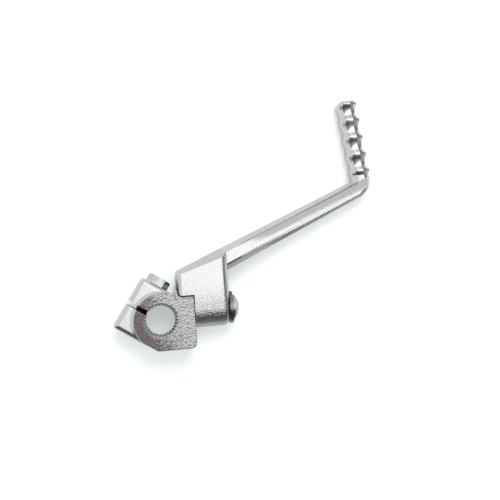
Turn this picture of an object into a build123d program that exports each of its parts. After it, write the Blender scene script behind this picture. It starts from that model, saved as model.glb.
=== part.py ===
from build123d import *
import os
from math import asin, cos, degrees, hypot, pi, radians, sin, sqrt, tan

# Folding kick start lever, in millimetres.
# The origin is the centre of the splined bore, halfway along it.
# +Z runs along the bore axis, +X along the fold pivot, and the arm is folded flat.

# Splined bore
spline_major_d = 16.0
spline_minor_d = 14.7
spline_teeth = 29
spline_land_share = 0.42
spline_root_share = 0.5
bore_mouth_d = 17.4

# Hub body
hub_length = 19.2
hub_radius = 13.2
hub_joint_face = 16.6
hub_bottom = 14.4
hub_low_corner_r = 3.0
hub_flat_corner_r = 2.5
hub_edge_r = 0.6

# Notch with the round shoulder that the arm's tongue swings over, and the rib that stops the folded arm
pivot_height = 3.75
shoulder_height = 5.4
notch_wall = 7.6
notch_floor = 3.0
notch_fillet_r = 2.0
notch_lip_r = 1.2
rib_thickness = 3.6
rib_height = 12.25
rib_left = 3.5
rib_corner_r = 1.0

# Clamp slot and lugs
slot_angle = 146.0
slot_width = 2.3
lug_reach = 18.8
lug_end = 13.9
lug_root = 2.0
lug_thickness = 13.0
lug_corner_r = 1.6
lug_edge_r = 2.4
boss_fillet_r = 1.6

# Clamp bolt
bolt_d = 6.0
bolt_length = 25.0
bolt_head_flats = 10.0
bolt_head_height = 4.0
bolt_head_chamfer = 0.5
bolt_head_slope = 30.0
bolt_tip_chamfer = 0.8
bolt_hole_clearance = 0.2
bolt_thread_clearance = 0.05
bolt_tooth_clearance = 0.35

# Pivot stub, washer and screw
stub_d = 11.0
stub_root = 2.0
running_clearance = 0.05
side_gap = 0.3
end_play = 0.2
washer_d = 16.0
washer_hole_d = 6.4
washer_thickness = 1.6
screw_d = 6.0
screw_length = 10.0
screw_head_d = 12.0
screw_head_height = 3.4
screw_rim_height = 1.0
recess_width = 1.2
recess_span = 6.4
recess_depth = 1.8
tapped_spare = 2.0

# Detent
ball_d = 4.0
ball_hole_clearance = 0.1
ball_protrusion = 0.9
ball_from_joint_face = 3.6
groove_clearance = 0.15
pocket_depth = 0.3
spring_d = 3.6
spring_wire_d = 0.5
spring_turns = 5
spring_seat_gap = 0.05
spring_hole_floor = 3.0

# Arm: boss and tongue
boss_length = 17.4
boss_radius = 8.75
boss_edge_r = 2.4
boss_right_edge_r = 3.2
boss_top_corner_r = 3.0
boss_band_left = 2.3
boss_band_right = 5.0
boss_band_drop = 3.4
tongue_length = 8.3
tongue_sweep_clearance = 0.6
stop_gap = 0.2
open_stop_slack = 1.2

# Arm: rod, bend and pedal
rod_angle = 23.7
rod_line_height = 28.4
rod_root_width = 11.7
rod_root_depth = 12.5
rod_root_bevel = 2.9
rod_root_level = -1.0
rod_root_inset = 6.0
rod_end_width = 9.5
rod_end_depth = 10.8
rod_end_bevel = 2.4
bar_edge_r = 1.0
bend_from_joint_face = 94.8
bend_inner_r = 0.4
pedal_angle = 96.6
ridge_count = 5
ridge_pitch = 9.3
pedal_lead = 0.4
first_ridge_from_bend = 7.6
ridge_width = 10.4
ridge_depth = 11.8
ridge_bevel = 2.7
ridge_slope_length = 2.4
ridge_right_shift = 0.25
crest_swell = 0.04
groove_width = 9.0
groove_depth = 10.3
groove_bevel = 2.3
tip_from_last_ridge = 1.5
tip_round_r = 2.2
tip_side_margin = 0.1

# Places worked out from the sizes above
half_length = hub_length / 2
stub_r = stub_d / 2
boss_left = hub_joint_face + side_gap
boss_right = boss_left + boss_length
stub_end = boss_right + end_play
tongue_left = boss_left - tongue_length
shoulder = pivot_height + shoulder_height
under_shoulder = pivot_height + shoulder_height / 2
shoulder_r = hypot(shoulder_height, half_length)
tongue_r = shoulder_r + tongue_sweep_clearance
tongue_lead = degrees(asin(boss_radius / tongue_r))
open_angle = 180 - degrees(asin(half_length / tongue_r)) - tongue_lead - open_stop_slack
rib_face = rib_thickness - half_length
bolt_reach = spline_minor_d / 2 + bolt_tooth_clearance + bolt_d / 2
ball_x = hub_joint_face + ball_from_joint_face
ball_offset = stub_r + ball_protrusion - ball_d / 2
pedal_level = ridge_depth / 2 + crest_swell - half_length
pivot_axis = Axis((0, pivot_height, 0), (1, 0, 0))
through = 2 * (hub_radius + lug_reach)
same_place = 0.01


def nearest_corner(sketch, x, y):
    """The sketch's corner that lies nearest to a point."""
    return min(sketch.vertices(), key=lambda v: hypot(v.X - x, v.Y - y))


def bar_along_x(radius, x_from, x_to):
    """A round bar on the pivot axis between two places along X."""
    place = Plane(origin=(x_from, pivot_height, 0), x_dir=(0, 1, 0), z_dir=(1, 0, 0))
    return extrude(place * Circle(radius), x_to - x_from)


def hub_outline():
    """The hub's face: round about the bore, square towards the arm, open where the tongue swings."""
    flat_normal = slot_angle + 90
    low_left = (-hub_radius + hub_bottom * -sin(radians(flat_normal))) / -cos(radians(flat_normal))
    top = (0, hub_radius)
    touch = (hub_radius * cos(radians(flat_normal)), hub_radius * sin(radians(flat_normal)))
    middle_angle = radians((90 + flat_normal) / 2)
    middle = (hub_radius * cos(middle_angle), hub_radius * sin(middle_angle))
    straight = Polyline(
        touch,
        (low_left, -hub_bottom),
        (hub_joint_face, -hub_bottom),
        (hub_joint_face, under_shoulder),
        (notch_wall + notch_floor, under_shoulder),
        (notch_wall + notch_floor, shoulder),
        (notch_wall, shoulder),
        (notch_wall, hub_radius),
        top,
    )
    face = make_face([*straight.edges(), ThreePointArc(top, middle, touch)])
    rounds = (
        (low_left, -hub_bottom, hub_flat_corner_r),
        (hub_joint_face, -hub_bottom, hub_low_corner_r),
        (notch_wall, shoulder, notch_fillet_r),
        (notch_wall, hub_radius, notch_lip_r),
    )
    for x, y, radius in rounds:
        face = fillet(nearest_corner(face, x, y), radius)
    return face


def round_shoulder():
    """The shoulder under the tongue, round about the pivot, with rounded edges."""
    place = Plane(origin=(notch_wall, pivot_height, 0), x_dir=(0, 1, 0), z_dir=(1, 0, 0))
    upper_half = Pos(shoulder_r / 2, 0) * Rectangle(shoulder_r, hub_length)
    block = extrude(place * (Circle(shoulder_r) & upper_half), hub_joint_face - notch_wall)
    rims = block.edges().filter_by(
        lambda e: e.center().Y > pivot_height + same_place and e.center().X > notch_wall + same_place
    )
    return fillet(rims, hub_edge_r)


def spline_hole():
    """The splined bore as a solid to take away, with its chamfered mouths."""
    minor_r = spline_minor_d / 2
    major_r = spline_major_d / 2
    pitch = 2 * pi * minor_r / spline_teeth
    mouth = pitch * (1 - spline_land_share)
    root = mouth * spline_root_share
    gap = make_face(
        Polyline(
            (minor_r - mouth, -mouth / 2),
            (minor_r, -mouth / 2),
            (major_r, -root / 2),
            (major_r + root, -root / 2),
            (major_r + root, root / 2),
            (major_r, root / 2),
            (minor_r, mouth / 2),
            (minor_r - mouth, mouth / 2),
            close=True,
        )
    )
    gaps = PolarLocations(0, spline_teeth) * gap
    section = Circle(minor_r) + (Sketch() + gaps & Circle(major_r))
    hole = extrude(section, half_length, both=True)
    mouth_r = bore_mouth_d / 2
    cone = Cone(0, mouth_r, mouth_r, align=(Align.CENTER, Align.CENTER, Align.MAX))
    front = Pos(0, 0, half_length) * cone
    return hole + front + mirror(front, about=Plane.XY)


def clamp_lugs():
    """Both lugs as one block, before the slot is cut, with rounded outer edges."""
    outline = Polyline(
        (0, lug_end),
        (lug_reach, lug_end),
        (lug_reach, -lug_end),
        (lug_root, -lug_end),
        (lug_root, 0),
        (0, 0),
        close=True,
    )
    block = extrude(make_face(outline), lug_thickness / 2, both=True)
    upright = block.edges().filter_by(Axis.Z)
    outer = upright.filter_by(lambda e: e.center().X > lug_reach - lug_corner_r)
    block = fillet(outer, lug_corner_r)
    rims = block.edges().filter_by(
        lambda e: abs(abs(e.center().Z) - lug_thickness / 2) < same_place
        and (e.center().X > lug_reach / 2 or e.center().Y < -lug_end / 2)
        and abs(e.center().Y) > same_place
    )
    return Rot(0, 0, slot_angle) * fillet(rims, lug_edge_r)


def along_bolt(radius, head_side, tip_side):
    """A round bar on the clamp bolt's axis, from its head side to its tip side."""
    bar = Cylinder(radius, head_side + tip_side, align=(Align.CENTER, Align.CENTER, Align.MIN))
    return Rot(0, 0, slot_angle) * Pos(bolt_reach, -head_side, 0) * Rot(-90, 0, 0) * bar


def make_hub():
    """The cast hub with its splined bore, clamp lugs, stop rib and pivot stub."""
    body = extrude(hub_outline(), half_length, both=True)
    rims = body.edges().filter_by(lambda e: abs(abs(e.center().Z) - half_length) < same_place)
    body = fillet(rims, hub_edge_r) + round_shoulder()
    body += clamp_lugs()
    roots = body.edges().filter_by(GeomType.CIRCLE).filter_by(
        lambda e: abs(e.radius - hub_radius) < same_place
        and abs(abs(e.center().Z) - lug_thickness / 2) < same_place
    )
    body = fillet(roots, boss_fillet_r)

    rib_top = pivot_height + rib_height
    rib_face_outline = Pos((rib_left + hub_joint_face) / 2, rib_top / 2) * RectangleRounded(
        hub_joint_face - rib_left, rib_top, rib_corner_r
    )
    rib = extrude(rib_face_outline, rib_thickness)
    body += Pos(0, 0, -half_length) * rib
    body += bar_along_x(stub_r, hub_joint_face - stub_root, stub_end)

    body -= spline_hole()
    slot = Box(through, slot_width, through, align=(Align.MIN, Align.CENTER, Align.CENTER))
    body -= Rot(0, 0, slot_angle) * slot
    body -= along_bolt(bolt_d / 2 + bolt_hole_clearance, through, 0)
    body -= along_bolt(bolt_d / 2 + bolt_thread_clearance, 0, through)

    tapped_r = screw_d / 2 + bolt_thread_clearance
    tapped_end = stub_end - (screw_length - washer_thickness + tapped_spare)
    body -= bar_along_x(tapped_r, tapped_end, stub_end + tapped_spare)
    well = Cylinder(
        ball_d / 2 + ball_hole_clearance,
        stub_d + spring_hole_floor,
        align=(Align.CENTER, Align.CENTER, Align.MAX),
    )
    body -= Pos(ball_x, pivot_height, spring_hole_floor) * well
    return body


def make_clamp_bolt():
    """The hex head screw that closes the clamp slot."""
    shank = Cylinder(bolt_d / 2, bolt_length, align=(Align.CENTER, Align.CENTER, Align.MIN))
    shank = chamfer(shank.edges().sort_by(Axis.Z)[-1], bolt_tip_chamfer)
    hexagon = RegularPolygon(bolt_head_flats / 2, 6, major_radius=False)
    head = extrude(hexagon, -bolt_head_height)
    corner_r = bolt_head_flats / sqrt(3)
    crown = Cone(
        corner_r - bolt_head_chamfer / tan(radians(bolt_head_slope)),
        corner_r + (bolt_head_height - bolt_head_chamfer) / tan(radians(bolt_head_slope)),
        bolt_head_height,
        align=(Align.CENTER, Align.CENTER, Align.MIN),
    )
    bolt = (head & Pos(0, 0, -bolt_head_height) * crown) + shank
    return Rot(0, 0, slot_angle) * Pos(bolt_reach, -lug_end, 0) * Rot(-90, 0, 0) * bolt


def detent_groove():
    """The track of the detent ball in the arm's bore, with a deeper pocket at each end."""
    track_r = ball_d / 2 + groove_clearance
    start = Plane(origin=(ball_x, pivot_height, -ball_offset), x_dir=(1, 0, 0), z_dir=(0, 1, 0))
    backwards = Axis(pivot_axis.position, -pivot_axis.direction)
    track = revolve(start * Circle(track_r), backwards, open_angle)
    pocket = Pos(ball_x, pivot_height, -ball_offset - pocket_depth) * Sphere(track_r)
    return track, pocket, pocket.rotate(pivot_axis, -open_angle)


def bar_section(width, depth, bevel):
    """A bar's section with bevelled corners and softened edges."""
    x = width / 2
    y = depth / 2
    corners = [
        (x, y - bevel),
        (x - bevel, y),
        (bevel - x, y),
        (-x, y - bevel),
        (-x, bevel - y),
        (bevel - x, -y),
        (x - bevel, -y),
        (x, bevel - y),
    ]
    return make_face(FilletPolyline(*corners, radius=bar_edge_r, close=True))


def across(point, angle):
    """The plane that stands across a direction in the XY plane, with its x axis to the left."""
    along = (cos(radians(angle)), sin(radians(angle)), 0)
    return Plane(origin=point, x_dir=(-along[1], along[0], 0), z_dir=along)


def step_along(point, angle, distance):
    """The point at a distance along a direction in the XY plane."""
    return (
        point[0] + distance * cos(radians(angle)),
        point[1] + distance * sin(radians(angle)),
        point[2],
    )


def boss_band(top_left, top_right):
    """The plane of the band along the boss's upper front edge, which widens towards the rod."""
    inward = Vector(sin(radians(rod_angle)), -cos(radians(rod_angle)), 0)
    left_end = Vector(tongue_left, top_left, boss_radius) + inward * boss_band_left
    right_end = Vector(boss_right, top_right, boss_radius) + inward * boss_band_right
    low_end = Vector(boss_right, top_right, boss_radius - boss_band_drop)
    edge = right_end - left_end
    return Plane(origin=right_end, x_dir=edge, z_dir=edge.cross(low_end - right_end))


def make_boss():
    """The arm's boss about the pivot, with the tongue that reaches over the hub."""
    rod_half = rod_root_width / 2 / cos(radians(rod_angle))
    slope = tan(radians(rod_angle))
    top_right = rod_line_height + rod_half
    top_left = top_right - (boss_right - tongue_left) * slope
    low = pivot_height - boss_radius
    outline = make_face(
        Polyline(
            (tongue_left, low),
            (boss_right, low),
            (boss_right, top_right),
            (tongue_left, top_left),
            close=True,
        )
    )
    outline = fillet(nearest_corner(outline, tongue_left, top_left), boss_top_corner_r)
    block = extrude(outline, boss_radius, both=True)
    side = Circle(boss_radius) + Pos(0, top_right / 2) * Rectangle(2 * boss_radius, top_right)
    place = Plane(origin=(tongue_left, pivot_height, 0), x_dir=(0, 0, -1), z_dir=(1, 0, 0))
    block &= extrude(place * side, boss_right - tongue_left)
    block = fillet(block.faces().sort_by(Axis.X)[-1].edges(), boss_right_edge_r)
    rims = block.edges().filter_by(lambda e: abs(abs(e.center().Z) - boss_radius) < same_place)
    block = fillet(rims, boss_edge_r)
    block = split(block, boss_band(top_left, top_right), keep=Keep.BOTTOM)
    block -= bar_along_x(tongue_r, tongue_left - tongue_length, boss_left)
    behind = Box(through, through, through, align=(Align.MAX, Align.CENTER, Align.MAX))
    return block - Pos(boss_left, 0, rib_face + stop_gap) * behind


def make_pedal(bend, start):
    """The pedal with its wavy ridges, from the end of the bend to the rounded tip."""
    sections = []
    for place in (start, start + pedal_lead):
        sections.append(Pos(0, 0, place) * bar_section(rod_end_width, rod_end_depth, rod_end_bevel))
    for index in range(ridge_count):
        crest = first_ridge_from_bend + index * ridge_pitch
        for place in (crest - ridge_slope_length, crest, crest + ridge_slope_length):
            if place == crest:
                section = bar_section(ridge_width, ridge_depth, ridge_bevel)
                sections.append(Pos(-ridge_right_shift, 0, place) * section)
            else:
                section = bar_section(groove_width, groove_depth, groove_bevel)
                sections.append(Pos(0, 0, place) * section)
    limit = Box(
        ridge_width + 2 * tip_side_margin,
        ridge_depth + 2 * tip_side_margin,
        crest + tip_from_last_ridge,
        align=(Align.CENTER, Align.CENTER, Align.MIN),
    )
    limit = fillet(limit.faces().sort_by(Axis.Z)[-1].edges(), tip_round_r)
    return across(bend, pedal_angle) * (loft(sections) & Pos(-ridge_right_shift, 0, 0) * limit)


def make_arm():
    """The cast arm: boss, tongue, tapered rod, bend and ridged pedal in one piece."""
    bend_x = hub_joint_face + bend_from_joint_face
    bend_y = rod_line_height + (bend_x - boss_right) * tan(radians(rod_angle))
    bend = (bend_x, bend_y, pedal_level)
    turn = pedal_angle - rod_angle
    bend_r = rod_end_width / 2 + bend_inner_r
    tangent = bend_r * tan(radians(turn / 2))
    rod_end = step_along(bend, rod_angle, -tangent)
    centre = step_along(rod_end, rod_angle + 90, bend_r)
    root = step_along((boss_right, rod_line_height, rod_root_level), rod_angle, -rod_root_inset)

    end_section = across(rod_end, rod_angle) * bar_section(rod_end_width, rod_end_depth, rod_end_bevel)
    root_section = across(root, rod_angle) * bar_section(rod_root_width, rod_root_depth, rod_root_bevel)
    rod = loft([root_section, end_section])
    elbow = revolve(end_section, Axis(centre, (0, 0, 1)), turn)
    arm = make_boss() + rod + elbow + make_pedal(bend, tangent)

    arm -= bar_along_x(stub_r + running_clearance, tongue_left, boss_right + rod_root_inset)
    for tool in detent_groove():
        arm -= tool
    return arm


def make_pivot_washer():
    """The flat washer that keeps the arm on its stub."""
    ring = Circle(washer_d / 2) - Circle(washer_hole_d / 2)
    place = Plane(origin=(stub_end, pivot_height, 0), x_dir=(0, 1, 0), z_dir=(1, 0, 0))
    return extrude(place * ring, washer_thickness)


def make_pivot_screw():
    """The round head screw in the stub's end, with a cross recess."""
    seat = Plane(origin=(stub_end + washer_thickness, pivot_height, 0), x_dir=(0, 1, 0), z_dir=(1, 0, 0))
    head_r = screw_head_d / 2
    crown = screw_head_height - screw_rim_height
    crown_r = (head_r**2 + crown**2) / (2 * crown)
    head = Cylinder(head_r, screw_head_height, align=(Align.CENTER, Align.CENTER, Align.MIN))
    head &= Pos(0, 0, screw_head_height - crown_r) * Sphere(crown_r)
    bar = Box(recess_span, recess_width, recess_depth, align=(Align.CENTER, Align.CENTER, Align.MAX))
    top = Pos(0, 0, screw_head_height)
    head -= top * bar
    head -= top * Rot(0, 0, 90) * bar
    shank = Cylinder(screw_d / 2, screw_length, align=(Align.CENTER, Align.CENTER, Align.MAX))
    return seat * (head + shank)


def make_detent_ball():
    """The steel ball, at the height where it rides along its track."""
    return Pos(ball_x, pivot_height, -ball_offset) * Sphere(ball_d / 2)


def make_detent_spring():
    """The coil spring between the well's floor and the ball."""
    wire_r = spring_wire_d / 2
    coil_r = (spring_d - spring_wire_d) / 2
    reach = ball_d / 2 + wire_r + spring_seat_gap
    near_ball = -ball_offset + reach * cos(asin(coil_r / reach))
    near_floor = spring_hole_floor - spring_seat_gap - wire_r
    height = near_floor - near_ball
    path = Helix(height / spring_turns, height, coil_r)
    wire = sweep(Plane(origin=path @ 0, z_dir=path % 0) * Circle(wire_r), path)
    return Pos(ball_x, pivot_height, near_ball) * wire


pieces = {
    "hub": make_hub,
    "clamp_bolt": make_clamp_bolt,
    "arm": make_arm,
    "pivot_washer": make_pivot_washer,
    "pivot_screw": make_pivot_screw,
    "detent_ball": make_detent_ball,
    "detent_spring": make_detent_spring,
}

os.makedirs("parts", exist_ok=True)
for node, make in pieces.items():
    export_step(make(), f"parts/{node}.step")
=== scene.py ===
"""Folding kick start lever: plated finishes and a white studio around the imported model."""

import math

import bpy
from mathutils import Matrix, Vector


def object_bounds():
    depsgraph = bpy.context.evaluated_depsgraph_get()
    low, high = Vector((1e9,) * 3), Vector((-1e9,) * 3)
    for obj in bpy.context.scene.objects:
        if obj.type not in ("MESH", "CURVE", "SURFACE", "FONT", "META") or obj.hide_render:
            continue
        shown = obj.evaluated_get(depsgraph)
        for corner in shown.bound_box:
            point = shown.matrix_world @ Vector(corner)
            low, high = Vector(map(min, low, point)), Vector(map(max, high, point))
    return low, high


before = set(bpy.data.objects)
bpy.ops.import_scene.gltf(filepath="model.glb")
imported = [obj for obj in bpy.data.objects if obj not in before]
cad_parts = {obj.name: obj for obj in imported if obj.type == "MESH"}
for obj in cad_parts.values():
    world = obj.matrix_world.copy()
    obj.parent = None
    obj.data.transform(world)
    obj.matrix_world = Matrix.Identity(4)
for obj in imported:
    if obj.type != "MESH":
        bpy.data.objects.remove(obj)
cad_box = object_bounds()

bl_info = {
    "name": "Kick Start Lever",
    "version": (1, 0, 0),
    "blender": (4, 5, 0),
    "location": "3D View > Sidebar > Kick Lever",
    "description": "Finishes the folding kick start lever and sets up its white studio",
    "category": "Object",
}

MM = 0.001
FLOOR_LEVEL = cad_box[0].z
FRONT_LEVEL = cad_box[1].z
WHITE = (1.0, 1.0, 1.0, 1.0)
NONE_TO_ALL = (0.0, 1.0)
ALL_TO_NONE = (1.0, 0.0)

# Clamp bolt: how the clamp slot runs, and where the bolt's head sits on its lug
SLOT_ANGLE = math.radians(146.0)
HEAD_SEAT = 13.9 * MM
THREAD_PITCH = 1.0 * MM
THREAD_DEPTH = 0.12 * MM

# Arm: how the middle lines of the rod and the pedal run, and the width of the rod's front
ROD_ANGLE = math.radians(23.7)
ROD_UP = (-math.sin(ROD_ANGLE), math.cos(ROD_ANGLE), 0.0)
ROD_START = (34.3 * MM, 28.4 * MM)
ROD_HALF_FRONT = 3.29 * MM
ROD_TAPER = 0.0086
PEDAL_ANGLE = math.radians(96.6)
PEDAL_RIGHT = (math.sin(PEDAL_ANGLE), -math.cos(PEDAL_ANGLE), 0.0)
PEDAL_START = (111.4 * MM, 62.24 * MM)


class PlatingSettings(bpy.types.PropertyGroup):
    """Bright plating over the cast hub and arm."""

    silver: bpy.props.FloatVectorProperty(
        name="Silver",
        description="Colour of the clean plating",
        subtype="COLOR",
        default=(0.88, 0.88, 0.89),
        min=0.0,
        max=1.0,
    )
    # Also the colour of painted shade: in the grain's pits, towards the lower left of the hub's face and
    # along the rod's upper edge.
    tarnish_and_shade: bpy.props.FloatVectorProperty(
        name="Tarnish",
        description="Colour in the pits of the cast grain",
        subtype="COLOR",
        default=(0.31, 0.255, 0.275),
        min=0.0,
        max=1.0,
    )
    hub_grain: bpy.props.FloatProperty(
        name="Hub Grain",
        description="Size of the cast grain on the hub's face",
        subtype="DISTANCE",
        unit="LENGTH",
        default=0.9 * MM,
    )
    arm_grain: bpy.props.FloatProperty(
        name="Arm Grain",
        description="Size of the cast grain on the arm's boss and rod",
        subtype="DISTANCE",
        unit="LENGTH",
        default=0.8 * MM,
    )
    polish_from: bpy.props.FloatProperty(
        name="Polish From",
        description="How far up the arm the polished pedal starts",
        subtype="DISTANCE",
        unit="LENGTH",
        default=60.0 * MM,
    )


class HardwareSettings(bpy.types.PropertyGroup):
    """Bolt, washer, screw and detent pieces."""

    zinc: bpy.props.FloatVectorProperty(
        name="Bright Zinc",
        description="Colour of the bolt, the pivot screw and the detent pieces",
        subtype="COLOR",
        default=(0.80, 0.83, 0.81),
        min=0.0,
        max=1.0,
    )
    yellow_zinc: bpy.props.FloatVectorProperty(
        name="Yellow Zinc",
        description="Colour of the pivot washer",
        subtype="COLOR",
        default=(0.40, 0.39, 0.28),
        min=0.0,
        max=1.0,
    )


class StudioSettings(bpy.types.PropertyGroup):
    """Camera and light of the white studio."""

    lens: bpy.props.FloatProperty(
        name="Lens",
        description="Focal length on a 36 mm wide sensor",
        subtype="DISTANCE_CAMERA",
        default=42.0,
    )
    camera_place: bpy.props.FloatVectorProperty(
        name="Camera Place",
        description="Where the camera stands, seen from the splined bore's centre",
        subtype="TRANSLATION",
        unit="LENGTH",
        default=(-3.97 * MM, 17.27 * MM, 294.67 * MM),
    )
    camera_turn: bpy.props.FloatVectorProperty(
        name="Camera Turn",
        description="How the camera is turned away from straight down",
        subtype="EULER",
        unit="ROTATION",
        default=(math.radians(3.54), math.radians(-9.669), math.radians(-4.406)),
    )
    softbox_power: bpy.props.FloatProperty(
        name="Softbox Power",
        description="Power of the overhead softbox",
        subtype="POWER",
        unit="POWER",
        default=4.2,
    )


def settings(name):
    """The scene's own group of settings with that name."""
    return getattr(bpy.context.scene, name)


def opaque(colour):
    """A colour with full alpha, as node sockets take it."""
    return (colour[0], colour[1], colour[2], 1.0)


def add_node(tree, kind, **values):
    """A new node of that kind, with its properties set by name."""
    node = tree.nodes.new(kind)
    for name, value in values.items():
        setattr(node, name, value)
    return node


def feed(tree, socket, value):
    """Links a socket to another, or sets its own value."""
    if isinstance(value, bpy.types.NodeSocket):
        tree.links.new(value, socket)
    else:
        socket.default_value = value


def add_math(tree, operation, *values):
    """A math node on its inputs, each a socket or a number."""
    node = add_node(tree, "ShaderNodeMath", operation=operation)
    for socket, value in zip(node.inputs, values):
        feed(tree, socket, value)
    return node.outputs[0]


def add_product(tree, first, *others):
    """The product of several values."""
    for other in others:
        first = add_math(tree, "MULTIPLY", first, other)
    return first


def add_between(tree, value, low, high):
    """A value held between two limits."""
    return add_math(tree, "MINIMUM", add_math(tree, "MAXIMUM", value, low), high)


def add_range(tree, value, span, result=NONE_TO_ALL):
    """A smooth step from the first result to the second, as a value crosses a span."""
    node = add_node(tree, "ShaderNodeMapRange", interpolation_type="SMOOTHSTEP")
    for socket, entry in zip(node.inputs, (value, *span, *result)):
        feed(tree, socket, entry)
    return node.outputs["Result"]


def add_mix(tree, share, first, second):
    """A blend of two colours."""
    node = add_node(tree, "ShaderNodeMix", data_type="RGBA")
    feed(tree, node.inputs["Factor"], share)
    feed(tree, node.inputs["A"], first)
    feed(tree, node.inputs["B"], second)
    return node.outputs["Result"]


def add_slant(tree, axes, along_x, along_y, start):
    """A value that rises steadily along a direction in the XY plane."""
    first = add_math(tree, "MULTIPLY_ADD", axes["X"], along_x, start)
    return add_math(tree, "MULTIPLY_ADD", axes["Y"], along_y, first)


def add_distance(tree, place, direction, start):
    """How far a point lies past a start, along a direction in the XY plane."""
    offset = direction[0] * start[0] + direction[1] * start[1]
    return add_slant(tree, place, direction[0], direction[1], -offset)


def add_noise(tree, place, scale, detail, roughness):
    """A noise texture over the piece's own coordinates."""
    node = add_node(tree, "ShaderNodeTexNoise")
    feed(tree, node.inputs["Vector"], place)
    feed(tree, node.inputs["Scale"], scale)
    feed(tree, node.inputs["Detail"], detail)
    feed(tree, node.inputs["Roughness"], roughness)
    return node.outputs["Fac"]


def add_bump(tree, shader, height, facing=None):
    """Relief of a height in metres, on the surface as it faces or on a turned facing."""
    bump = add_node(tree, "ShaderNodeBump")
    bump.inputs["Distance"].default_value = 1.0
    feed(tree, bump.inputs["Height"], height)
    if facing:
        tree.links.new(facing, bump.inputs["Normal"])
    tree.links.new(bump.outputs["Normal"], shader.inputs["Normal"])


def blend_shaders(tree, share, first, second):
    """Sends a mix of two shaders to the material's output."""
    blend = add_node(tree, "ShaderNodeMixShader")
    tree.links.new(share, blend.inputs["Fac"])
    tree.links.new(first.outputs[0], blend.inputs[1])
    tree.links.new(second.outputs[0], blend.inputs[2])
    tree.links.new(blend.outputs[0], tree.nodes["Material Output"].inputs["Surface"])


def own_axes(tree, kind):
    """The axes of a piece's own coordinates (Object) or of the way its surface faces (Normal)."""
    coordinates = add_node(tree, "ShaderNodeTexCoord")
    axes = add_node(tree, "ShaderNodeSeparateXYZ")
    tree.links.new(coordinates.outputs[kind], axes.inputs[0])
    return axes.outputs


def new_group(name, inputs, outputs):
    """An empty shader node group with float inputs and outputs."""
    group = bpy.data.node_groups.new(name, "ShaderNodeTree")
    for label, default in inputs.items():
        socket = group.interface.new_socket(label, in_out="INPUT", socket_type="NodeSocketFloat")
        socket.default_value = default
    for label in outputs:
        group.interface.new_socket(label, in_out="OUTPUT", socket_type="NodeSocketFloat")
    return group, group.nodes.new("NodeGroupInput"), group.nodes.new("NodeGroupOutput")


def cast_grain_group():
    """Pebbled skin of a blasted casting: its height, and slow clouds of tone."""
    name = "cast_grain"
    if name in bpy.data.node_groups:
        return bpy.data.node_groups[name]
    fine_per_coarse = 2.7
    clouds_per_coarse = 0.12
    coarse_share = 0.75
    fine_share = 0.25
    group, given, result = new_group(name, {"Grains Per Metre": 1000.0}, ("Height", "Clouds"))
    place = add_node(group, "ShaderNodeTexCoord").outputs["Object"]
    density = given.outputs["Grains Per Metre"]
    fine_density = add_math(group, "MULTIPLY", density, fine_per_coarse)
    cloud_density = add_math(group, "MULTIPLY", density, clouds_per_coarse)
    coarse = add_noise(group, place, density, detail=1.0, roughness=0.5)
    fine = add_noise(group, place, fine_density, detail=2.0, roughness=0.5)
    clouds = add_noise(group, place, cloud_density, detail=3.0, roughness=0.55)
    pebbles = add_math(group, "MULTIPLY", coarse, coarse_share)
    pebbles = add_math(group, "MULTIPLY_ADD", fine, fine_share, pebbles)
    group.links.new(pebbles, result.inputs["Height"])
    group.links.new(clouds, result.inputs["Clouds"])
    return group


def add_grain(tree, shader, size, depth, form=0.0, facing=None):
    """Cast grain as a bump under the plating, on top of a broader form."""
    grain = add_node(tree, "ShaderNodeGroup", node_tree=cast_grain_group())
    grain.inputs["Grains Per Metre"].default_value = 1.0 / size
    height = add_math(tree, "MULTIPLY_ADD", grain.outputs["Height"], depth, form)
    add_bump(tree, shader, height, facing)
    return grain.outputs


def new_material(name):
    """A material with its shader, ready for textures."""
    material = bpy.data.materials.new(name)
    material.use_nodes = True
    return material, material.node_tree, material.node_tree.nodes["Principled BSDF"]


def new_metal(name):
    """A bare metal material with its shader."""
    material, tree, shader = new_material(name)
    shader.inputs["Metallic"].default_value = 1.0
    return material, tree, shader


def dress(node, material):
    """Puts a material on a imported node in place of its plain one."""
    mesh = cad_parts[node].data
    mesh.materials.clear()
    mesh.materials.append(material)


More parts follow.
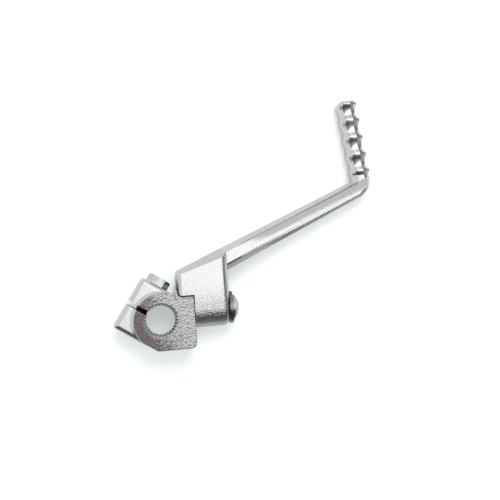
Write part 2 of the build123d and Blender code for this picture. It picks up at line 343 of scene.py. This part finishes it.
def hub_plating():
    """Plating that is bright on the lugs and tarnished in the coarse grain of the hub's face, with painted
    shade that darkens the face towards its lower left.
    """
    face_level = (FRONT_LEVEL - 0.9 * MM, FRONT_LEVEL - 0.2 * MM)
    face_tilt = (0.6, 0.95)
    grain_depth = (0.08 * MM, 0.58 * MM)
    roughness = (0.2, 0.24)
    # Painted shade: the face's colour lightens from its lower left to its upper right.
    painted_light_at_bore = -0.92
    painted_light_per_metre = (64.0, 20.0)
    clean_clouds = 0.4
    clean_and_lit_peaks = 2.4
    clean_and_lit_span = (0.05, 1.0)
    plating = settings("kick_lever_plating")
    material, tree, shader = new_metal("hub_cast_plating")
    place = own_axes(tree, "Object")
    facing = own_axes(tree, "Normal")
    on_face = add_product(
        tree,
        add_range(tree, place["Z"], face_level),
        add_range(tree, facing["Z"], face_tilt),
    )
    grain = add_grain(tree, shader, plating.hub_grain, add_range(tree, on_face, NONE_TO_ALL, grain_depth))
    # Painted shade: darker towards the face's lower left, standing in for the dark reflection there.
    clean_and_lit = add_slant(tree, place, *painted_light_per_metre, painted_light_at_bore)
    clean_and_lit = add_math(tree, "MULTIPLY_ADD", grain["Clouds"], clean_clouds, clean_and_lit)
    # Tarnish and painted shade in the pits of the grain.
    clean_and_lit = add_math(tree, "MULTIPLY_ADD", grain["Height"], clean_and_lit_peaks, clean_and_lit)
    off_face = add_math(tree, "SUBTRACT", 1.0, on_face)
    clean_and_lit = add_math(tree, "MAXIMUM", add_range(tree, clean_and_lit, clean_and_lit_span), off_face)
    plated = add_mix(tree, clean_and_lit, opaque(plating.tarnish_and_shade), opaque(plating.silver))
    tree.links.new(plated, shader.inputs["Base Color"])
    tree.links.new(add_range(tree, on_face, NONE_TO_ALL, roughness), shader.inputs["Roughness"])
    return material


def rod_offset(tree, place):
    """How far a point lies above the rod's middle line."""
    return add_distance(tree, place, ROD_UP, ROD_START)


def rod_edge(tree, place):
    """How far off the middle line the edges of the rod's tapered front run."""
    return add_math(tree, "MULTIPLY_ADD", place["X"], -ROD_TAPER, ROD_HALF_FRONT)


def rod_crown(tree, place):
    """Height of the crown across the rod's front, whose crest runs lower towards the pedal."""
    half_width = 3.0 * MM
    crest_depth = 0.755 * MM
    crest_fall = 0.035
    root = (34.0 * MM, 60.0 * MM)
    curve = (0.0, -56.0)
    off_rod = add_between(tree, rod_offset(tree, place), -half_width, half_width)
    crest = add_math(tree, "MULTIPLY_ADD", place["X"], crest_fall, crest_depth)
    off_crest = add_math(tree, "ADD", off_rod, crest)
    return add_product(tree, off_crest, off_crest, add_range(tree, place["X"], root, curve))


def add_lean(tree, normal, direction):
    """How much a normal leans along a direction."""
    lean = add_node(tree, "ShaderNodeVectorMath", operation="DOT_PRODUCT")
    feed(tree, lean.inputs[0], normal)
    feed(tree, lean.inputs[1], direction)
    return lean.outputs["Value"]


def add_turn(tree, normal, direction, aim, share):
    """A normal turned towards an aimed lean along a direction, by a share from none to all of the way."""
    turn = add_math(tree, "SUBTRACT", aim, add_lean(tree, normal, direction))
    turned = add_node(tree, "ShaderNodeVectorMath", operation="MULTIPLY_ADD")
    feed(tree, turned.inputs[0], add_math(tree, "MULTIPLY", turn, share))
    feed(tree, turned.inputs[1], direction)
    feed(tree, turned.inputs[2], normal)
    return turned.outputs[0]


def rod_facing(tree, place, facing, normal):
    """The rod's lower edge, rounded over more and more towards the pedal and steeper beside the boss."""
    downward = (-ROD_UP[0], -ROD_UP[1], 0.0)
    front_tilt = (0.1, 0.3)
    reach_span = (40.0 * MM, 98.0 * MM)
    reach = (0.3 * MM, 1.1 * MM)
    edge_blend = (-0.2 * MM, 0.0)
    reach_blend = (-0.2 * MM, 0.1 * MM)
    steep_blend = (0.0, 0.3 * MM)
    rounded_from = (36.0 * MM, 44.0 * MM)
    rounded_to = (108.0 * MM, 114.0 * MM)
    rounded_lean = 0.02
    steep_from = (31.0 * MM, 36.0 * MM)
    steep_to = (50.0 * MM, 66.0 * MM)
    steep_lean = 0.8
    above_edge = add_math(tree, "ADD", rod_offset(tree, place), rod_edge(tree, place))
    past_edge = add_math(tree, "MULTIPLY", above_edge, -1.0)
    past_reach = add_math(tree, "SUBTRACT", past_edge, add_range(tree, place["X"], reach_span, reach))
    in_front = add_range(tree, facing["Z"], front_tilt)
    rounded = add_product(
        tree,
        in_front,
        add_range(tree, past_edge, edge_blend),
        add_range(tree, past_reach, reach_blend, ALL_TO_NONE),
        add_range(tree, place["X"], rounded_from),
        add_range(tree, place["X"], rounded_to, ALL_TO_NONE),
    )
    steep = add_product(
        tree,
        in_front,
        add_range(tree, past_reach, steep_blend),
        add_range(tree, place["X"], steep_from),
        add_range(tree, place["X"], steep_to, ALL_TO_NONE),
    )
    normal = add_turn(tree, normal, downward, rounded_lean, rounded)
    return add_turn(tree, normal, downward, steep_lean, steep)


def pedal_facing(tree, place, normal):
    """The pedal's broad twisted front facet, and a narrow one falling away to its right."""
    left_edge = (-3.5 * MM, -3.0 * MM)
    twist_span = (-3.0 * MM, 0.8 * MM)
    twist_lean = (0.08, -0.08)
    right_edge = (0.8 * MM, 1.2 * MM)
    right_lean = 0.38
    side_lean = (0.75, 0.92)
    pedal_root = (64.0 * MM, 69.0 * MM)
    off_pedal = add_distance(tree, place, PEDAL_RIGHT, PEDAL_START)
    twist = add_range(tree, off_pedal, twist_span, twist_lean)
    aim = add_range(tree, off_pedal, right_edge, (twist, right_lean))
    lean = add_math(tree, "ABSOLUTE", add_lean(tree, normal, PEDAL_RIGHT))
    front = add_product(
        tree,
        add_range(tree, lean, side_lean, ALL_TO_NONE),
        add_range(tree, off_pedal, left_edge),
        add_range(tree, place["Y"], pedal_root),
    )
    return add_turn(tree, normal, PEDAL_RIGHT, aim, front)


def arm_facing(tree, place, facing):
    """The way the arm's surface faces in the room, with the turns of the pedal and the rod."""
    normal = add_node(tree, "ShaderNodeTexCoord").outputs["Normal"]
    normal = pedal_facing(tree, place, normal)
    normal = rod_facing(tree, place, facing, normal)
    outward = add_node(
        tree,
        "ShaderNodeVectorTransform",
        vector_type="NORMAL",
        convert_from="OBJECT",
        convert_to="WORLD",
    )
    feed(tree, outward.inputs[0], normal)
    return outward.outputs[0]


def painted_rod_edge_line(tree, place):
    """How light the plating is across a dark line painted at the upper edge of the rod's front, which
    stands in for that edge's dark reflection.
    """
    painted_line_from = (38.0 * MM, 48.0 * MM)
    painted_line_to = (96.0 * MM, 106.0 * MM)
    painted_line_width = (0.2 * MM, 0.6 * MM)
    painted_line_lightness = 0.6
    off_painted_line = add_math(tree, "SUBTRACT", rod_offset(tree, place), rod_edge(tree, place))
    painted_line = add_range(tree, place["X"], painted_line_to, (painted_line_lightness, 1.0))
    painted_line = add_range(tree, place["X"], painted_line_from, (1.0, painted_line))
    return add_range(tree, add_math(tree, "ABSOLUTE", off_painted_line), painted_line_width, (painted_line, 1.0))


def painted_joint_shade(tree, place, facing):
    """Painted shade on the tongue's left edge, down to where it meets the hub, standing in for the hub's
    dark side reflected there.
    """
    leftward = (-0.5, -0.2)
    left_of = (9.0 * MM, 10.0 * MM)
    below = (14.0 * MM, 21.0 * MM)
    return add_product(
        tree,
        add_range(tree, facing["X"], leftward, ALL_TO_NONE),
        add_range(tree, place["X"], left_of, ALL_TO_NONE),
        add_range(tree, place["Y"], below, ALL_TO_NONE),
    )


def arm_plating():
    """Plating with a deep grain low on the boss, a shallow one on the rod, and a polished pedal, with
    tarnish and painted shade in the pits, a painted dark line on the rod's upper edge and painted shade at
    the joint.
    """
    polish_length = 6.0 * MM
    boss = (-5.0 * MM, 20.0 * MM)
    grain_depth = (0.42 * MM, 0.08 * MM)
    polished_depth = 0.01 * MM
    pit_height = (0.3, 0.45)
    pit_clean_and_lit = (0.72, 1.0)
    roughness = (0.2, 0.1)
    # Colour of the painted shade at the joint.
    painted_shade_colour = (0.03, 0.027, 0.03, 1.0)
    plating = settings("kick_lever_plating")
    material, tree, shader = new_metal("arm_cast_plating")
    place = own_axes(tree, "Object")
    facing = own_axes(tree, "Normal")
    polish = add_range(tree, place["Y"], (plating.polish_from, plating.polish_from + polish_length))
    depth = add_range(tree, place["Y"], boss, grain_depth)
    depth = add_range(tree, polish, NONE_TO_ALL, (depth, polished_depth))
    crown = rod_crown(tree, place)
    grain = add_grain(tree, shader, plating.arm_grain, depth, crown, arm_facing(tree, place, facing))
    # Tarnish and painted shade in the pits of the grain.
    clean_and_lit = add_range(tree, grain["Height"], pit_height, pit_clean_and_lit)
    clean_and_lit = add_math(tree, "MAXIMUM", clean_and_lit, polish)
    # A dark line painted along the rod's upper edge, a painted reflection.
    clean_and_lit = add_math(tree, "MINIMUM", clean_and_lit, painted_rod_edge_line(tree, place))
    plated = add_mix(tree, clean_and_lit, opaque(plating.tarnish_and_shade), opaque(plating.silver))
    # Painted shade on the tongue's left edge near the hub.
    plated = add_mix(tree, painted_joint_shade(tree, place, facing), plated, painted_shade_colour)
    tree.links.new(plated, shader.inputs["Base Color"])
    tree.links.new(add_range(tree, polish, NONE_TO_ALL, roughness), shader.inputs["Roughness"])
    return material


def zinc_material(name, colour, dullness):
    """Zinc plating with cloudy tone, duller in its clouds."""
    clouds_per_metre = 350.0
    dull_span = (0.35, 0.7)
    rough_span = (0.3, 0.7)
    roughness = (0.2, 0.38)
    material, tree, shader = new_metal(name)
    place = add_node(tree, "ShaderNodeTexCoord").outputs["Object"]
    cloud = add_noise(tree, place, clouds_per_metre, detail=4.0, roughness=0.6)
    dull = [channel * dullness for channel in colour]
    tone = add_mix(tree, add_range(tree, cloud, dull_span), opaque(colour), opaque(dull))
    tree.links.new(tone, shader.inputs["Base Color"])
    tree.links.new(add_range(tree, cloud, rough_span, roughness), shader.inputs["Roughness"])
    return material


def bolt_zinc(colour, dullness):
    """Bright zinc on the bolt's head, and a dark brown thread."""
    shank_start = (0.0, 0.3 * MM)
    dark_thread_colour = (0.035, 0.02, 0.022, 1.0)
    material = zinc_material("bolt_zinc", colour, dullness)
    tree = material.node_tree
    shader = tree.nodes["Principled BSDF"]
    place = own_axes(tree, "Object")
    from_seat = add_slant(tree, place, -math.sin(SLOT_ANGLE), math.cos(SLOT_ANGLE), HEAD_SEAT)
    shank = add_range(tree, from_seat, shank_start)
    bright = shader.inputs["Base Color"].links[0].from_socket
    tree.links.new(add_mix(tree, shank, bright, dark_thread_colour), shader.inputs["Base Color"])
    turns = add_math(tree, "SINE", add_math(tree, "MULTIPLY", from_seat, 2.0 * math.pi / THREAD_PITCH))
    add_bump(tree, shader, add_product(tree, turns, shank, THREAD_DEPTH))
    return material


class KICK_OT_finish_hub(bpy.types.Operator):
    """Plates the cast clamp hub"""

    bl_idname = "kick.finish_hub"
    bl_label = "Finish Hub"

    def execute(self, context):
        dress("hub", hub_plating())
        return {"FINISHED"}


class KICK_OT_finish_arm(bpy.types.Operator):
    """Plates the cast arm"""

    bl_idname = "kick.finish_arm"
    bl_label = "Finish Arm"

    def execute(self, context):
        dress("arm", arm_plating())
        return {"FINISHED"}


class KICK_OT_finish_hardware(bpy.types.Operator):
    """Finishes the clamp bolt, pivot washer, pivot screw and detent pieces"""

    bl_idname = "kick.finish_hardware"
    bl_label = "Finish Hardware"

    def execute(self, context):
        bright_dullness = 0.85
        yellow_dullness = 0.7
        hardware = settings("kick_lever_hardware")
        bright = zinc_material("bright_zinc", hardware.zinc, bright_dullness)
        for node in ("pivot_screw", "detent_ball", "detent_spring"):
            dress(node, bright)
        dress("clamp_bolt", bolt_zinc(hardware.zinc, bright_dullness))
        dress("pivot_washer", zinc_material("yellow_zinc", hardware.yellow_zinc, yellow_dullness))
        return {"FINISHED"}


def add_floor():
    """White table that takes the lever's shadow, and is darker on the near side in reflections."""
    table_size = 6.0
    table_grey = (0.9, 0.9, 0.9, 1.0)
    table_roughness = 0.9
    shadow_tint = (0.89, 1.0, 0.965, 1.0)
    far_span = (0.06, 0.3)
    glow_share = (0.42, 1.0)
    near_span = (-0.08, 0.01)
    near_dark = (0.87, 0.45)
    bpy.ops.object.select_all(action="DESELECT")
    bpy.ops.mesh.primitive_plane_add(size=table_size, location=(0, 0, FLOOR_LEVEL))
    floor = bpy.context.object
    floor.name = "floor"
    material, tree, shader = new_material("white_table")
    shader.inputs["Base Color"].default_value = table_grey
    shader.inputs["Roughness"].default_value = table_roughness
    shader.inputs["Specular IOR Level"].default_value = 0.0
    rays = add_node(tree, "ShaderNodeLightPath").outputs
    straight = add_math(tree, "MAXIMUM", rays["Is Camera Ray"], rays["Is Transmission Ray"])
    place = own_axes(tree, "Object")
    away = add_math(tree, "MULTIPLY", place["Y"], place["Y"])
    away = add_math(tree, "MULTIPLY_ADD", place["X"], place["X"], away)
    away = add_range(tree, away, far_span)
    glow = add_node(tree, "ShaderNodeEmission")
    tree.links.new(add_mix(tree, away, shadow_tint, WHITE), glow.inputs["Color"])
    tree.links.new(straight, glow.inputs["Strength"])
    share = add_math(tree, "MULTIPLY", straight, add_range(tree, away, NONE_TO_ALL, glow_share))
    dark = add_range(tree, place["Y"], near_span, near_dark)
    share = add_math(tree, "MULTIPLY_ADD", rays["Is Glossy Ray"], dark, share)
    blend_shaders(tree, share, shader, glow)
    floor.data.materials.append(material)


def add_world():
    """Even white surroundings."""
    scene = bpy.context.scene
    scene.world = bpy.data.worlds.new("white_room")
    scene.world.use_nodes = True
    background = scene.world.node_tree.nodes["Background"]
    background.inputs["Color"].default_value = WHITE
    background.inputs["Strength"].default_value = 1.0


def add_band(tree, axes, direction, middle, half_width):
    """How far a view lies from the middle of a band, in half widths of the band."""
    return add_slant(tree, axes, direction[0] / half_width, direction[1] / half_width, -middle / half_width)


def room_lamp(tree, axes):
    """The long overhead lamp: a view's squared distance from its middle, and how much of it shows there."""
    length_way = (0.46, 0.89)
    width_way = (-0.89, 0.46)
    middle = (0.32, -0.12)
    half_size = (0.53, 0.24)
    lamp_edge = (0.8, 1.7)
    overhead = (0.2, 0.5)
    along = add_band(tree, axes, length_way, middle[0], half_size[0])
    aside = add_band(tree, axes, width_way, middle[1], half_size[1])
    spread = add_math(tree, "MULTIPLY", aside, aside)
    spread = add_math(tree, "MULTIPLY_ADD", along, along, spread)
    lamp = add_product(
        tree,
        add_range(tree, spread, lamp_edge, ALL_TO_NONE),
        add_range(tree, axes["Z"], overhead),
    )
    return spread, lamp


def room_walls(tree, axes):
    """Colour of the walls: light on the far side, dark on the near side and a little round to the right."""
    dark_wall = (0.095, 0.08, 0.09, 1.0)
    light_wall = (0.66, 0.67, 0.68, 1.0)
    side_span = (-0.6, -0.1)
    right_span = (0.08, 0.4)
    high_span = (0.3, 0.6)
    right_shift = 0.15
    rightward = add_product(
        tree,
        add_range(tree, axes["X"], right_span),
        add_range(tree, axes["Z"], high_span, (0.0, right_shift)),
    )
    sides = add_range(tree, add_math(tree, "SUBTRACT", axes["Y"], rightward), side_span)
    return add_mix(tree, sides, dark_wall, light_wall)


def add_room():
    """Room round the table that only the plating reflects."""
    room_radius = 1.2
    lamp_boost = 0.12
    gap_span = (5.0, 9.0)
    gap_strength = (0.85, 1.0)
    strip_high = (-0.02, 0.08)
    strip_right = (0.4, 0.7)
    strip_dark = 0.55
    bpy.ops.object.select_all(action="DESELECT")
    bpy.ops.mesh.primitive_uv_sphere_add(segments=64, ring_count=32, radius=room_radius)
    room = bpy.context.object
    room.name = "room"
    material, tree, shader = new_material("room_light")
    direction = add_node(tree, "ShaderNodeVectorMath", operation="NORMALIZE")
    tree.links.new(add_node(tree, "ShaderNodeTexCoord").outputs["Object"], direction.inputs[0])
    separate = add_node(tree, "ShaderNodeSeparateXYZ")
    tree.links.new(direction.outputs[0], separate.inputs[0])
    axes = separate.outputs
    spread, lamp = room_lamp(tree, axes)
    strip = add_product(
        tree,
        add_range(tree, axes["Z"], strip_high),
        add_range(tree, axes["X"], strip_right, (0.0, strip_dark)),
    )
    strength = add_math(tree, "SUBTRACT", add_range(tree, spread, gap_span, gap_strength), strip)
    strength = add_math(tree, "MAXIMUM", strength, lamp)
    bright = add_math(tree, "MULTIPLY_ADD", lamp, lamp_boost, 1.0)
    glow = add_node(tree, "ShaderNodeEmission")
    tree.links.new(add_mix(tree, lamp, room_walls(tree, axes), WHITE), glow.inputs["Color"])
    tree.links.new(add_math(tree, "MULTIPLY", bright, strength), glow.inputs["Strength"])
    tree.links.new(glow.outputs[0], tree.nodes["Material Output"].inputs["Surface"])
    tree.nodes.remove(shader)
    room.data.materials.append(material)
    room.visible_camera = False
    room.visible_diffuse = False
    room.visible_shadow = False
    room.visible_transmission = False


def add_softbox(power):
    """A square softbox over the far side of the table, aimed at the lever's middle."""
    place = Vector((0.1, 0.45, 0.7))
    aim = Vector((0.05, 0.04, 0.0))
    lamp = bpy.data.lights.new("overhead_softbox", "AREA")
    lamp.shape = "SQUARE"
    lamp.size = 0.4
    lamp.energy = power
    holder = bpy.data.objects.new("overhead_softbox", lamp)
    holder.location = place
    holder.rotation_euler = (aim - place).to_track_quat("-Z", "Y").to_euler()
    holder.visible_glossy = False
    bpy.context.scene.collection.objects.link(holder)


def add_camera(studio):
    """The camera over the lever, as the studio's settings place it."""
    lens = bpy.data.cameras.new("camera")
    lens.lens = studio.lens
    lens.clip_start = 10.0 * MM
    holder = bpy.data.objects.new("camera", lens)
    holder.location = studio.camera_place
    holder.rotation_euler = studio.camera_turn
    bpy.context.scene.collection.objects.link(holder)
    bpy.context.scene.camera = holder


class KICK_OT_set_stage(bpy.types.Operator):
    """Adds the floor, surroundings, softbox and camera"""

    bl_idname = "kick.set_stage"
    bl_label = "Set Stage"

    def execute(self, context):
        studio = settings("kick_lever_studio")
        add_floor()
        add_world()
        add_room()
        add_softbox(studio.softbox_power)
        add_camera(studio)
        context.scene.view_settings.view_transform = "Standard"
        return {"FINISHED"}


class KICK_PT_lever(bpy.types.Panel):
    """Lists the lever's finishes and its studio"""

    bl_idname = "KICK_PT_lever"
    bl_label = "Kick Start Lever"
    bl_space_type = "VIEW_3D"
    bl_region_type = "UI"
    bl_category = "Kick Lever"

    def draw(self, context):
        for group, pointer in SETTINGS.items():
            for name in group.__annotations__:
                self.layout.prop(settings(pointer), name)
        for operator in OPERATORS:
            self.layout.operator(operator.bl_idname)


SETTINGS = {
    PlatingSettings: "kick_lever_plating",
    HardwareSettings: "kick_lever_hardware",
    StudioSettings: "kick_lever_studio",
}
OPERATORS = (KICK_OT_finish_hub, KICK_OT_finish_arm, KICK_OT_finish_hardware, KICK_OT_set_stage)


def register():
    for group, name in SETTINGS.items():
        bpy.utils.register_class(group)
        setattr(bpy.types.Scene, name, bpy.props.PointerProperty(type=group))
    for operator in OPERATORS:
        bpy.utils.register_class(operator)
    bpy.utils.register_class(KICK_PT_lever)


def unregister():
    bpy.utils.unregister_class(KICK_PT_lever)
    for operator in reversed(OPERATORS):
        bpy.utils.unregister_class(operator)
    for group, name in SETTINGS.items():
        delattr(bpy.types.Scene, name)
        bpy.utils.unregister_class(group)


def main():
    register()
    bpy.ops.kick.finish_hub()
    bpy.ops.kick.finish_arm()
    bpy.ops.kick.finish_hardware()
    bpy.ops.kick.set_stage()


if __name__ == "__main__":
    main()
